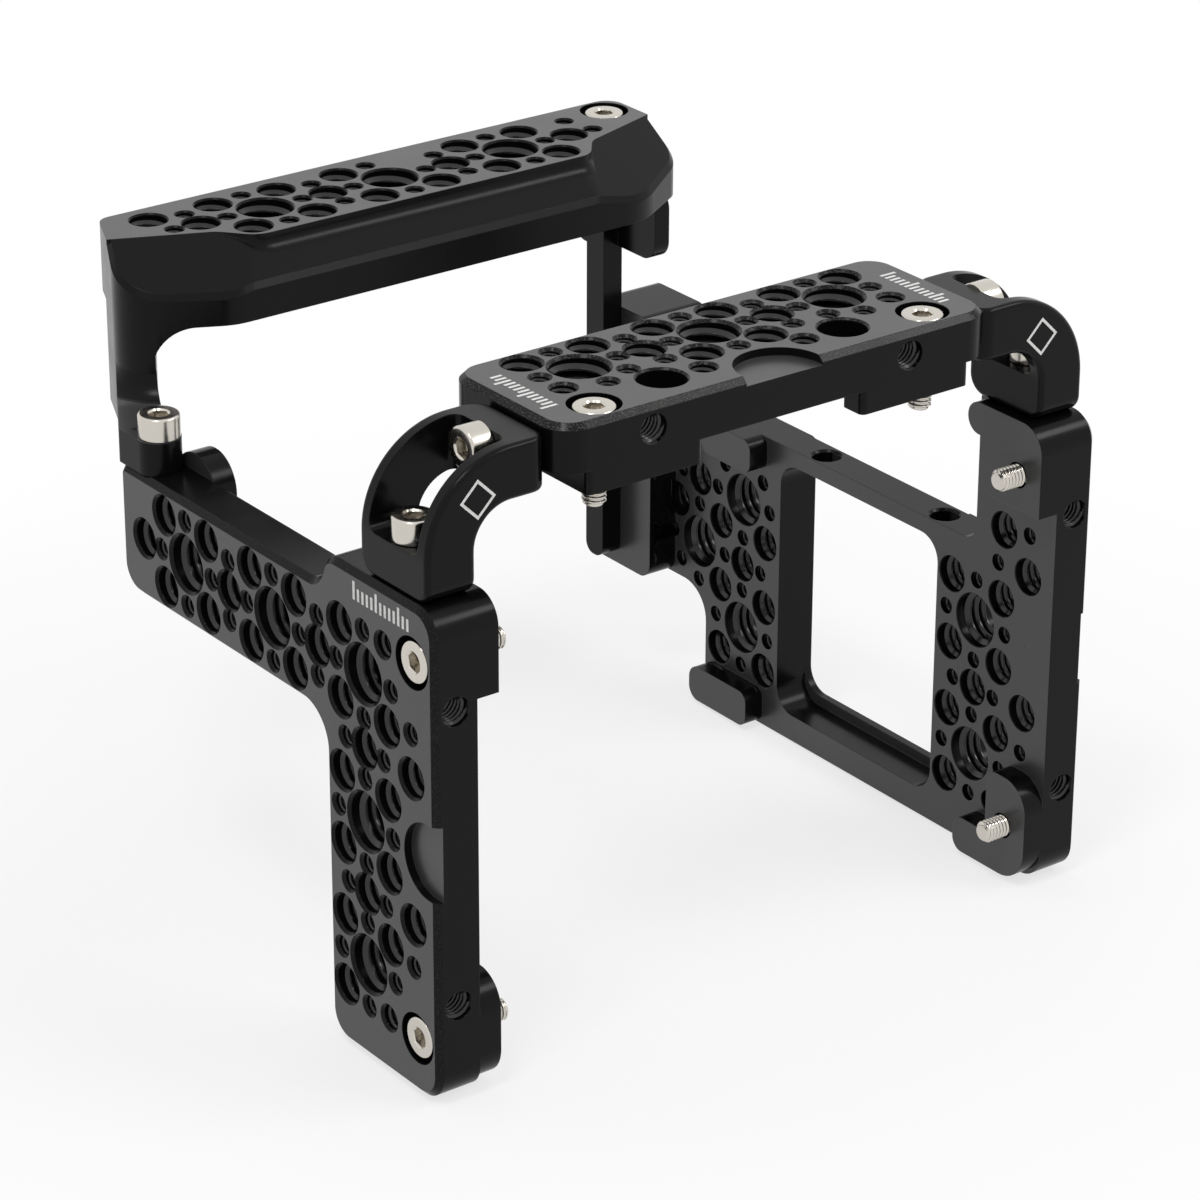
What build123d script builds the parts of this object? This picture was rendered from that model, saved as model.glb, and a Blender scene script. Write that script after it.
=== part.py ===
from build123d import *
import math
import os

# Camera cage: two side plates, a top plate on two corner brackets, and a rear bar
# that runs from the left plate to a post on the right plate.
# Millimetres. +X right, +Y back (away from the lens side), +Z up.
# Origin: middle of the width and of the depth, on the plane the side plates stand on.
# The pieces are drawn with Y measured from the cage's front plane, and moved at the end.

# ---- Overall sizes ----
cageWidth = 133.0            # over the outer faces of the side plates
sideHeight = 84.5            # side plates, foot to top
plateThick = 8.0             # side plates and top plate
padThick = 4.0               # pads that reach inwards to the camera body
outerChamfer = 1.0           # broken edge round each outer face

# ---- Hole lattice and threads ----
pitch = 25.4                 # one inch between 3/8-16 holes
columnY = 19.05              # first column of 3/8-16 holes, from the front plane
middleRowZ = 42.4            # middle row of 3/8-16 holes on the side plates
smallRing = 7.5              # 3/8-16 hole to the M3 holes round it
largeBore = 9.525            # 3/8-16
mediumBore = 6.35            # 1/4-20
smallBore = 3.0              # M3
tapBore = 4.0                # M4
plainBore = 8.0              # plain through hole
largeBreak = 0.5             # mouth chamfers
mediumBreak = 0.45
smallBreak = 0.5
backBreak = 0.15             # light deburr on the inner mouths
edgeBore = 5.0               # tapped holes in the front edges
edgeBoreDeep = 9.5
mouthWeb = 0.3               # metal left between two mouths when a hole is skipped for room
besideLarge = 5.2            # 1/4-20 hole to the M3 hole beside it
rearBeside = 5.46            # the same, at the top of the right plate's rear column
nearlyRound = 0.98           # share of a half width that a round end's corners take
overlap = 0.01               # how far two fused solids share metal

# ---- Camera screws ----
screwFoot = 9.9              # lower screws, above the side plates' foot
screwHead = 9.6              # upper screws, below the side plates' top
topScrewIn = 10.3            # top plate's screws, from its ends
screwInset = 5.65            # from the front plane
screwStub = 4.5              # thread that stands out of the pad
screwRecess = 0.2            # head below the outer face
boreDia = 8.7                # counterbore
tapOffset = 7.85             # M4 hole beside each camera screw

# ---- M4 and M3 cap screws ----
shankDia = 3.9
headDia = 7.0
headHigh = 4.0
hexFlats = 3.0
hexDeep = 2.0
headBreak = 0.4
tipShare = 0.12              # bevel at a screw's tip, as a share of its shank
shankGap = 0.3               # round a screw that slides in its hole
smallShank = 2.9
smallHead = 5.5
smallHeadHigh = 3.0
smallFlats = 2.5
smallHexDeep = 1.6
holeRunOut = 0.5             # blind hole beyond the screw's tip

# ---- Finger pocket at the front edges ----
pocketWide = 13.0
pocketReach = 8.5
pocketDeep = 1.4

# ---- Left side plate ----
legDeep = 30.05              # vertical leg, front to back
armLow = 56.8                # horizontal arm, underside
armHigh = 78.8               # horizontal arm, top
armEnd = 89.7                # rear end of the arm
raisedTo = 29.0              # raised front part of the top ends here
stepRun = 2.5                # slope down to the arm
cornerRound = 5.0
topRound = 4.8
stepRound = 3.6
insideRound = 6.2
tightRound = 1.4             # corners that look nearly sharp
lugRadius = 6.0              # round pad at the arm's rear end
lugCentre = 10.7             # from the arm's end
lugProud = 3.2               # above the arm
lugCorner = 2.0

# ---- Pads on the side plates ----
upperPadLow = 68.8
upperPadDeep = 14.4
upperPadRound = 3.4
hookDeep = 18.4
hookHigh = 5.7
hookRound = 2.8
hookCorner = 0.8             # inner corner under the hook
lowerPadHigh = 19.1
lowerPadDeep = 10.0
lowerPadRound = 2.4
lowerPadFront = 5.5          # round at the lower pad's front top corner
footDeep = 18.2
footHigh = 6.5
footLift = 0.5
footRound = 2.4
footCorner = 1.8             # inner corner above the foot
footEdge = 6.0               # round at the lower pad's front bottom corner

# ---- Right side plate ----
columnDeep = 29.2            # front column
neckDeep = 19.7              # front column above the rail
railTop = 56.8
railThick = 3.1
railInset = 1.4              # rail stands back from the outer face
rearColumn = 72.0            # rear column starts here
bottomRail = 5.0
bottomLip = 2.0              # lip at the outer face, above the bottom rail
windowRound = 4.5
neckRound = 3.0
rearEdge = 93.0              # rear column's edge below the notch
rearFootRound = 3.0
notchTop = 20.8
notchRound = 6.5
railHole = 5.0
railHoleDeep = 2.3
railHoleBreak = 0.4
railHoleRows = (31.45, 63.4)
railHoleIn = 4.8             # from the outer face
rearTabDeep = (76.0, 92.7)
rearTabHigh = 7.1
rearTabLift = 0.3
rearTabRound = 2.6           # rear corners of the lower tab
tabRound = 2.0
topTabDeep = (76.0, 90.0)
topTabHigh = 6.4
blockAhead = 9.0             # block's front face, ahead of the post's
blockTop = 72.0
blockRound = 3.0
blockFoot = 4.0              # inner corner between the block and the rail
blockThick = 6.0             # inwards from the plate's inner face

# ---- Corner brackets ----
bracketInset = 1.1           # from the side plates' outer faces
bracketInner = 6.8           # inner radius
bracketThick = 9.0
bracketLeg = 6.8             # straight ends
bracketFront = 3.0
bracketDeep = 17.9
bracketSlot = 13.0
footSeat = 7.4               # under the lower screw's head
endSeat = 6.0                # under the upper screw's head
slotRound = 2.0
bracketEdge = 0.9
bracketFoot = 3.6            # rear corner of each end
bracketToe = 2.8             # front corner of each end
bracketScrew = 12.0          # screw length
footScrewIn = 3.9            # lower screw, from the bracket's outer side
headScrewDown = 2.8          # upper screw, from the bracket's top

# ---- Top plate ----
topDeep = 30.0
topProud = 1.7               # above the brackets
topPadIn = 5.0               # pads, from the plate's ends
topPadLong = 22.0
topPadDeep = 17.0
topPadRound = 8.0
topPadFront = 1.0            # corners at the front plane
topPocketWide = 15.0
plainHoleX = 17.95
plainHoleY = 7.85
plainBreak = 0.35
cornerHoleX = 19.85
cornerHoleY = 13.8
middleTapX = 10.0
middleTapY = 7.6

# ---- Rear bar: its depths run forward from its back face ----
deckBack = 119.6             # back face, from the front plane
barThick = 12.0
barRowIn = 11.65             # row of 3/8-16 holes
barEndIn = 10.6              # right end, from the right plate's outer face
barDeep = 28.6
barFrontLeft = -42.4         # ends of the front wall
barFrontRight = 42.0
barHeelIn = 15.5             # left rear corner, from the left plate's outer face
barHornIn = 6.8              # left front corner, from the left plate's outer face
barHornDeep = 20.0
barCheekDeep = 20.0          # right corner
deckDeep = 22.3
deckLeft = -33.5             # front edge of the deck
deckRight = 35.0
deckTurnLeftX = -38.5        # where the deck's edge turns back
deckTurnRightX = 39.5
deckTurnDeep = 16.6
deckTipDeep = 9.3            # where the deck's edge meets the bar's left side
deckEndDeep = 11.1           # deck's edge at the right end
deckRound = 5.0
deckRightRound = 4.0
barHeelRound = 3.0
barHornRound = 8.0
barLeftRound = 10.0
barRightRound = 14.0
barCheekRound = 6.0
barEndRound = 3.5
wallHigh = 6.1               # front wall, underside to the slope
frontSlope = 30.0            # degrees
leftSlope = 28.0
rightSlope = 33.0
stripChamfer = 0.8
coveRound = 3.0
creaseRound = 12.0           # where two slopes meet
steepest = 40.0              # degrees: slopes are flatter, their chamfers steeper
lastHoleOut = 3.6            # last M3 hole, right of its 1/4-20 hole
barBreakShare = 0.6          # the bar's mouths are cut less deep

# ---- Rear arm and its foot ----
armPadThick = 5.8            # foot
armPadInset = 0.3            # from the left plate's outer face
armPadWide = 7.5
armPadFront = 80.0
armPadBack = 90.0
armPadRound = 3.6
armPadStep = 3.5             # the strip leaves the foot this far ahead of its back
armNoseIn = 12.4             # inner face, near the column's front; from the left plate's outer face
armNoseDeep = 22.05          # the same, from the bar's back face
armWallIn = 16.2             # column's inner face behind that corner
armWallDeep = 16.1
armColumnStop = 5.6          # column's rear face, from the bar's back face
armShoulder = 14.1           # the strip's outer edge meets the bar's left side
armBend = 3.0
armCorner = 1.0
armFillet = 6.5              # hollow between the column and the bar
armFilletIn = 11.9           # its foot, from the left plate's outer face
armHoleGap = 0.15
armScoop = 5.0
armScrewX = 4.2              # from the left plate's outer face
armScrewY = 83.6
armScrewLong = 12.0
pinDia = 1.5
pinLong = 8.0
pinIn = 2.4
pinY = 88.2

# ---- Rear post ----
postThick = 4.1
postDeep = 5.1
postLow = 23.0
postHeadLow = 84.0
postHeadWide = 6.4
postHeadDeep = 8.2
postHeadRound = 2.5
lobeWide = 3.2
lobeAhead = 10.9             # lobe's front, ahead of the post's
lobeRound = 3.4
postRound = 2.2
postScrewX = 2.5             # from the post's inner side
postScrewY = 3.4             # from the post's front
postScrewLong = 12.0
postScrewRows = (34.0, 60.0)
postScrewBite = 3.6          # thread held in the post
postTipGap = 0.3
postHoleGap = 0.05

# ---- Places worked out from the sizes above ----
halfWidth = cageWidth / 2
stackThick = plateThick + padThick
quarter = pitch / 4
half = pitch / 2
barDepth = deckBack
deckFront = deckBack - deckDeep
barFront = deckBack - barDeep
barRowY = deckBack - barRowIn
barEndX = halfWidth - barEndIn
barHeelX = barHeelIn - halfWidth
barHornX = barHornIn - halfWidth
barHornY = deckBack - barHornDeep
deckTipLeft = (barHeelX + (barHornX - barHeelX) * deckTipDeep / barHornDeep, deckBack - deckTipDeep)
deckTurnLeft = (deckTurnLeftX, deckBack - deckTurnDeep)
deckTurnRight = (deckTurnRightX, deckBack - deckTurnDeep)
deckEndRight = (barEndX, deckBack - deckEndDeep)
armNose = Vector(armNoseIn - halfWidth, deckBack - armNoseDeep)
armWall = Vector(armWallIn - halfWidth, deckBack - armWallDeep)
armFilletX = armFilletIn - halfWidth
armColumnBack = deckBack - armColumnStop
bracketOuter = bracketInner + bracketThick
bendIn = bracketInset + bracketOuter                 # bend centre, from the outer face
bendZ = sideHeight + bracketLeg
bracketTop = bendZ + bracketOuter
topEndX = halfWidth - bendIn - bracketLeg            # ends of the top plate
topScrewX = topEndX - topScrewIn
topZ = bracketTop + topProud                         # top of the top plate and of the bar
topLow = topZ - plateThick
bracketMidY = bracketFront + bracketDeep / 2
barLow = topZ - barThick
lugY = armEnd - lugCentre
lugZ = armHigh + lugProud - lugRadius
rearY = columnY + 2.5 * pitch                        # rear column of holes, right plate
postX = halfWidth - plateThick - blockThick - postThick
postFront = deckBack - postHeadDeep
postBack = postFront + postDeep
blockFront = postFront - blockAhead
blockBack = postFront + postHeadDeep
lobeFront = postFront - lobeAhead
reach = 1.0                                          # how far a cutting tool overshoots


def outline(corners):
    """Closed face from (u, v, radius) corners, in order round the edge."""
    places = []
    for i, (u, v, radius) in enumerate(corners):
        here = Vector(u, v)
        before = Vector(*corners[i - 1][:2]) - here
        after = Vector(*corners[(i + 1) % len(corners)][:2]) - here
        if radius <= 0:
            places.append((here, None, here))
            continue
        turn = math.radians(before.get_angle(after)) / 2
        along = radius / math.tan(turn)
        crown = radius / math.sin(turn) - radius
        bisector = (before.normalized() + after.normalized()).normalized()
        start = here + before.normalized() * along
        stop = here + after.normalized() * along
        places.append((start, here + bisector * crown, stop))
    edges = []
    for i, (start, crown, stop) in enumerate(places):
        if crown is not None:
            edges.append(ThreePointArc(start, crown, stop))
        following = places[(i + 1) % len(places)][0]
        if (following - stop).length > 1e-6:
            edges.append(Line(stop, following))
    return make_face(edges)


def sideSlab(corners, low, high):
    """Slab of a side plate: (y, z, radius) corners, from low to high inwards."""
    return Pos(low, 0, 0) * extrude(Plane.YZ * outline(corners), high - low)


def flatSlab(corners, low, high):
    """Horizontal slab: (x, y, radius) corners, from low to high."""
    return Pos(0, 0, low) * extrude(outline(corners), high - low)


def toSide(shape, side):
    """Side-plate frame (X inwards from the outer face) to the cage, side -1 left, +1 right."""
    if side < 0:
        return Pos(-halfWidth, 0, 0) * shape
    return Pos(halfWidth, 0, 0) * mirror(shape, Plane.YZ)


def holeTool(bore, thick, nearBreak, farBreak):
    """Cutter along +Z from 0 to thick, with a chamfered mouth at each end."""
    r = bore / 2
    profile = Polyline(
        (0, -reach),
        (r + nearBreak + reach, -reach),
        (r, nearBreak),
        (r, thick - farBreak),
        (r + farBreak + reach, thick + reach),
        (0, thick + reach),
        close=True,
    )
    return revolve(Plane.XZ * make_face(profile), Axis.Z)


def blindTool(bore, deep, mouth):
    """Cutter from 0 down to -deep, with a chamfered mouth at 0."""
    r = bore / 2
    wide = r + mouth + reach
    profile = Polyline((0, -deep), (r, -deep), (r, -mouth), (wide, reach), (0, reach), close=True)
    return revolve(Plane.XZ * make_face(profile), Axis.Z)


def drillSide(plate, points, bore, mouth, thick=plateThick):
    """Through holes in a side plate at (y, z) points; the wide mouth is on the outer face."""
    tool = Rot(0, 90, 0) * holeTool(bore, thick, mouth, backBreak)
    return plate - [Pos(0, y, z) * tool for y, z in points]


def drillTop(plate, points, bore, mouth, thick, top):
    """Through holes at (x, y) points; the wide mouth is at the top."""
    tool = holeTool(bore, thick, backBreak, mouth)
    return plate - [Pos(x, y, top - thick) * tool for x, y in points]


def around(points, dx, dy=None):
    """The four diagonal neighbours of each point."""
    dy = dx if dy is None else dy
    return [(u + i * dx, v + j * dy) for u, v in points for i in (-1, 1) for j in (-1, 1)]


def across(points, step):
    """The four neighbours of each point along the axes."""
    moves = ((-step, 0), (step, 0), (0, -step), (0, step))
    return [(u + du, v + dv) for u, v in points for du, dv in moves]


def clearOf(points, keepOut, gap):
    """Points whose centre is at least gap from every centre in keepOut."""
    return [p for p in points if all(math.dist(p, k) >= gap for k in keepOut)]


def capScrew(length, shank, head, high, flats, deep):
    """Socket cap screw along Z: head above 0, shank below it."""
    bevel = shank * tipShare
    profile = Polyline(
        (0, -length),
        (shank / 2 - bevel, -length),
        (shank / 2, -length + bevel),
        (shank / 2, 0),
        (head / 2, 0),
        (head / 2, high - headBreak),
        (head / 2 - headBreak, high),
        (0, high),
        close=True,
    )
    screw = revolve(Plane.XZ * make_face(profile), Axis.Z)
    socket = extrude(RegularPolygon(flats / 2, 6, major_radius=False), deep + reach)
    return screw - Pos(0, 0, high - deep) * socket


def cameraScrew():
    """Screw along Z whose head seats 0 and whose tip stands out of the pad."""
    grip = stackThick - headHigh - screwRecess
    return capScrew(grip + screwStub, shankDia, headDia, headHigh, hexFlats, hexDeep)


def cameraBore(thick):
    """Cutter along -Z from the outer face at 0: counterbore, then clearance hole."""
    deep = headHigh + screwRecess
    bore = Pos(0, 0, -deep / 2 + reach / 2) * Cylinder(boreDia / 2, deep + reach)
    hole = Pos(0, 0, -thick / 2) * Cylinder(shankDia / 2 + shankGap, thick + 2 * reach)
    return bore + hole


screwRows = (screwFoot, sideHeight - screwHead)
screwPoints = [(screwInset, z) for z in screwRows]
screwRoom = boreDia / 2 + mediumBore / 2 + mediumBreak + mouthWeb


def sideHoles(large, extraMedium, extraSmall):
    """Hole groups of a front column: 3/8-16, 1/4-20 and M3 points."""
    mids = [(columnY, middleRowZ + s * half) for s in (-1, 1)]
    edge = [(quarter, z) for _, z in mids]
    medium = clearOf(around(large, quarter), screwPoints, screwRoom) + mids + edge + extraMedium
    beside = [(y + s * besideLarge, z) for y, z in mids for s in (-1, 1)]
    outer = [(quarter, z + math.copysign(smallRing, z - middleRowZ)) for _, z in edge]
    return medium, across(large, smallRing) + beside + outer + extraSmall


def finishSide(plate):
    """Cuts shared by both side plates: camera screw bores, M4 holes, edge holes, pocket."""
    bore = Rot(0, -90, 0) * cameraBore(stackThick)
    plate -= [Pos(0, y, z) * bore for y, z in screwPoints]
    plate = drillSide(plate, [(screwInset + tapOffset, z) for z in screwRows], tapBore, mediumBreak)
    edge = Rot(-90, 0, 0) * Cylinder(edgeBore / 2, edgeBoreDeep + reach)
    shift = edgeBoreDeep / 2 - reach / 2
    plate -= [Pos(plateThick / 2, shift, middleRowZ + s * pitch) * edge for s in (-1, 1)]
    wide = pocketWide / 2
    pocket = sideSlab(
        [
            (-reach, middleRowZ - wide, 0),
            (pocketReach, middleRowZ - wide, wide * nearlyRound),
            (pocketReach, middleRowZ + wide, wide * nearlyRound),
            (-reach, middleRowZ + wide, 0),
        ],
        -reach,
        pocketDeep,
    )
    return plate - pocket


def bracketTap():
    """Blind hole in the top of a side plate for the bracket's lower screw."""
    deep = bracketScrew - footSeat + holeRunOut
    at = Pos(bracketInset + footScrewIn, bracketMidY, sideHeight - deep / 2 + reach / 2)
    return at * Cylinder(shankDia / 2, deep + reach)


def sidePads():
    """Upper pad with its rearward hook, and the lower pad with its foot."""
    upper = [
        (0, upperPadLow, 0),
        (upperPadDeep, upperPadLow, upperPadRound),
        (upperPadDeep, sideHeight - hookHigh, hookCorner),
        (hookDeep, sideHeight - hookHigh, hookRound),
        (hookDeep, sideHeight, hookRound),
        (0, sideHeight, topRound),
    ]
    lower = [
        (0, footLift, footEdge),
        (footDeep, footLift, footRound),
        (footDeep, footLift + footHigh, footRound),
        (lowerPadDeep, footLift + footHigh, footCorner),
        (lowerPadDeep, lowerPadHigh, lowerPadRound),
        (0, lowerPadHigh, lowerPadFront),
    ]
    return [sideSlab(c, plateThick - overlap, stackThick) for c in (upper, lower)]


def breakOuter(plate):
    """Chamfer round the outer face of a side plate."""
    return chamfer(plate.faces().sort_by(Axis.X)[0].edges(), outerChamfer)


def leftSidePlate():
    """L-shaped plate: front leg and an arm that runs back to the rear bar's foot."""
    plate = sideSlab(
        [
            (0, 0, cornerRound),
            (legDeep, 0, cornerRound),
            (legDeep, armLow, insideRound),
            (armEnd, armLow, cornerRound),
            (armEnd, armHigh, tightRound),
            (raisedTo + stepRun, armHigh, stepRound),
            (raisedTo, sideHeight, stepRound),
            (0, sideHeight, topRound),
        ],
        0,
        plateThick,
    )
    plate = breakOuter(plate)
    for pad in sidePads():
        plate += pad
    lug = [
        (lugY - lugRadius, lugZ - lugRadius, lugCorner),
        (lugY + lugRadius, lugZ - lugRadius, lugCorner),
        (lugY + lugRadius, lugZ + lugRadius, lugRadius * nearlyRound),
        (lugY - lugRadius, lugZ + lugRadius, lugRadius * nearlyRound),
    ]
    plate += sideSlab(lug, plateThick - overlap, stackThick)
    rowZ = middleRowZ + pitch
    large = [(columnY + i * pitch, rowZ) for i in range(3)]
    large += [(columnY, middleRowZ), (columnY, middleRowZ - pitch)]
    rowMids = [(columnY + (i + 0.5) * pitch, rowZ) for i in range(2)]
    medium, small = sideHoles(
        large,
        rowMids + [(columnY + 2.5 * pitch, rowZ)],
        [(y, z + s * besideLarge) for y, z in rowMids for s in (-1, 1)],
    )
    plate = drillSide(plate, large, largeBore, largeBreak)
    lugStart = lugY - lugRadius - mediumBore / 2
    plain = [p for p in medium if p[0] < lugStart]
    behind = [p for p in medium if p[0] >= lugStart]
    plate = drillSide(plate, plain, mediumBore, mediumBreak)
    plate = drillSide(plate, behind, mediumBore, mediumBreak, stackThick)
    plate = drillSide(plate, small, smallBore, smallBreak, stackThick)
    plate = finishSide(plate) - bracketTap()
    screwDeep = armScrewLong - armPadThick + holeRunOut
    tap = Cylinder(shankDia / 2, screwDeep + reach)
    plate -= Pos(armScrewX, armScrewY, armHigh - screwDeep / 2 + reach / 2) * tap
    pinDeep = pinLong - armPadThick
    plate -= Pos(pinIn, pinY, armHigh - pinDeep / 2 + reach / 2) * Cylinder(pinDia / 2, pinDeep + reach)
    return toSide(plate, -1)


def rightSidePlate():
    """Plate with a window between two columns, and a block that carries the rear post."""
    plate = sideSlab(
        [
            (0, 0, cornerRound),
            (rearEdge, 0, rearFootRound),
            (rearEdge, notchTop, notchRound),
            (blockBack, notchTop, blockRound),
            (blockBack, blockTop, blockRound),
            (blockFront, blockTop, blockRound),
            (blockFront, railTop, blockFoot),
            (neckDeep, railTop, neckRound),
            (neckDeep, sideHeight, tightRound),
            (0, sideHeight, topRound),
        ],
        0,
        plateThick,
    )
    plate = breakOuter(plate)
    window = [
        (columnDeep, bottomRail + bottomLip, windowRound),
        (rearColumn, bottomRail + bottomLip, windowRound),
        (rearColumn, railTop - railThick, windowRound),
        (columnDeep, railTop - railThick, windowRound),
    ]
    plate -= sideSlab(window, -reach, plateThick + reach)
    trough = [
        (columnDeep, bottomRail, windowRound),
        (rearColumn, bottomRail, windowRound),
        (rearColumn, railTop / 2, 0),
        (columnDeep, railTop / 2, 0),
    ]
    plate -= sideSlab(trough, railInset, plateThick + reach)
    slim = [
        (columnDeep, railTop - railThick - windowRound, 0),
        (rearColumn, railTop - railThick - windowRound, 0),
        (rearColumn, railTop + reach, 0),
        (columnDeep, railTop + reach, 0),
    ]
    plate -= sideSlab(slim, -reach, railInset)
    for pad in sidePads():
        plate += pad
    lowTab = [
        (rearTabDeep[0], rearTabLift, tabRound),
        (rearTabDeep[1], rearTabLift, rearTabRound),
        (rearTabDeep[1], rearTabHigh, rearTabRound),
        (rearTabDeep[0], rearTabHigh, tabRound),
    ]
    highTab = [
        (topTabDeep[0], railTop - topTabHigh, tabRound),
        (topTabDeep[1], railTop - topTabHigh, tabRound),
        (topTabDeep[1], railTop, tabRound),
        (topTabDeep[0], railTop, tabRound),
    ]
    for tab in (lowTab, highTab):
        plate += sideSlab(tab, plateThick - overlap, stackThick)
    block = [
        (blockFront, notchTop, blockRound),
        (blockBack, notchTop, blockRound),
        (blockBack, blockTop, blockRound),
        (blockFront, blockTop, blockRound),
    ]
    plate += sideSlab(block, plateThick - overlap, plateThick + blockThick)
    large = [(columnY, middleRowZ), (columnY, middleRowZ - pitch)]
    frontMedium, frontSmall = sideHoles(large, [(columnY - quarter, middleRowZ + pitch - quarter)], [])
    frontSmall = [p for p in frontSmall if p != (columnY + besideLarge, middleRowZ + half)]
    frontMedium = [p for p in frontMedium if p != (columnY, middleRowZ + half)]
    rear = [(rearY, middleRowZ), (rearY, middleRowZ - pitch)]
    offset = (rearY + half, middleRowZ - half)
    rearMedium = around([rear[1]], quarter)
    rearMedium += [(rearY + s * quarter, middleRowZ - quarter) for s in (-1, 1)]
    rearMedium += [(rearY, middleRowZ - half), (rearY + half, middleRowZ)]
    rearMedium += [(offset[0] + quarter, offset[1] + quarter)]
    rearSmall = across(rear, smallRing) + across([offset], smallRing)
    rearSmall = [p for p in rearSmall if p[1] < middleRowZ + smallRing]
    rearSmall += [(rearY - besideLarge, middleRowZ - half)]
    rearSmall += [(rearY + s * rearBeside, middleRowZ + besideLarge) for s in (-1, 1)]
    rearSmall += [(rearY + half + besideLarge, middleRowZ)]
    rearSmall += [(offset[0] + besideLarge, offset[1] - besideLarge)]
    plate = drillSide(plate, large + rear + [offset], largeBore, largeBreak)
    plate = drillSide(plate, frontMedium + rearMedium, mediumBore, mediumBreak)
    plate = drillSide(plate, frontSmall + rearSmall, smallBore, smallBreak, stackThick)
    dish = blindTool(railHole, railHoleDeep, railHoleBreak)
    plate -= [Pos(railHoleIn, y, railTop) * dish for y in railHoleRows]
    plate = finishSide(plate) - bracketTap()
    through = plateThick + blockThick
    bore = Cylinder(smallHead / 2 + shankGap, smallHeadHigh + screwRecess + reach)
    hole = Cylinder(smallShank / 2 + postHoleGap, through + 2 * reach)
    tool = Pos(0, 0, -(smallHeadHigh + screwRecess - reach) / 2) * bore
    tool = Rot(0, -90, 0) * (tool + Pos(0, 0, -through / 2) * hole)
    middle = postFront + postDeep / 2
    plate -= [Pos(0, middle, z) * tool for z in postScrewRows]
    return toSide(plate, 1)


def cornerBracket(side):
    """Quarter bend with straight ends and a slot that clears the two screw heads."""
    straight = bracketLeg
    low = bendZ - straight
    far = bendIn + straight
    ring = Circle(bracketOuter) - Circle(bracketInner)
    ring = Pos(bendIn, bendZ) * (ring & Pos(-bracketOuter / 2, bracketOuter / 2) * Rectangle(
        bracketOuter, bracketOuter))
    leg = Pos(bracketInset + bracketThick / 2, (low + bendZ) / 2) * Rectangle(bracketThick, straight)
    shelf = Pos((bendIn + far) / 2, bracketTop - bracketThick / 2) * Rectangle(straight, bracketThick)
    profile = Plane.XZ * (ring + leg + shelf)
    body = Pos(0, bracketFront + bracketDeep, 0) * extrude(profile, bracketDeep)
    back = bracketFront + bracketDeep
    feet = [e for e in body.edges().filter_by(Axis.X) if abs(e.center().Z - low) < 1e-3]
    ends = [e for e in body.edges().filter_by(Axis.Z) if abs(e.center().X - far) < 1e-3]
    rearCorners = [e for e in feet + ends if abs(e.center().Y - back) < 1e-3]
    frontCorners = [e for e in feet + ends if abs(e.center().Y - bracketFront) < 1e-3]
    body = fillet(rearCorners, bracketFoot)
    frontCorners = [e for e in body.edges() if any((e.center() - f.center()).length < 1e-3
                                                   for f in frontCorners)]
    body = fillet(frontCorners, bracketToe)
    faces = body.faces().filter_by(Axis.Y)
    body = fillet(faces.edges(), bracketEdge)
    slotFar = far - endSeat
    slotLow = low + footSeat
    size = (slotFar + reach, bracketSlot, bracketTop - slotLow + reach)
    slot = Pos(slotFar - size[0] / 2, bracketMidY, slotLow + size[2] / 2) * Box(*size)
    floorEdges = [e for e in slot.edges().filter_by(Axis.X) if abs(e.center().Z - slotLow) < 1e-3]
    wallEdges = [e for e in slot.edges().filter_by(Axis.Z) if abs(e.center().X - slotFar) < 1e-3]
    body -= fillet(floorEdges + wallEdges, slotRound)
    drill = Cylinder(shankDia / 2 + shankGap, 2 * max(footSeat, endSeat) + reach)
    body -= Pos(bracketInset + footScrewIn, bracketMidY, low) * drill
    upper = Pos(far, bracketMidY, bracketTop - headScrewDown)
    body -= upper * (Rot(0, 90, 0) * drill)
    return toSide(body, side)


def bracketScrews(side):
    """Lower screw into the side plate and upper screw into the top plate's end."""
    screw = capScrew(bracketScrew, shankDia, headDia, headHigh, hexFlats, hexDeep)
    lower = Pos(bracketInset + footScrewIn, bracketMidY, sideHeight + footSeat) * screw
    far = bendIn + bracketLeg
    upper = Pos(far - endSeat, bracketMidY, bracketTop - headScrewDown) * (Rot(0, -90, 0) * screw)
    return toSide(lower, side), toSide(upper, side)


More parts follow.
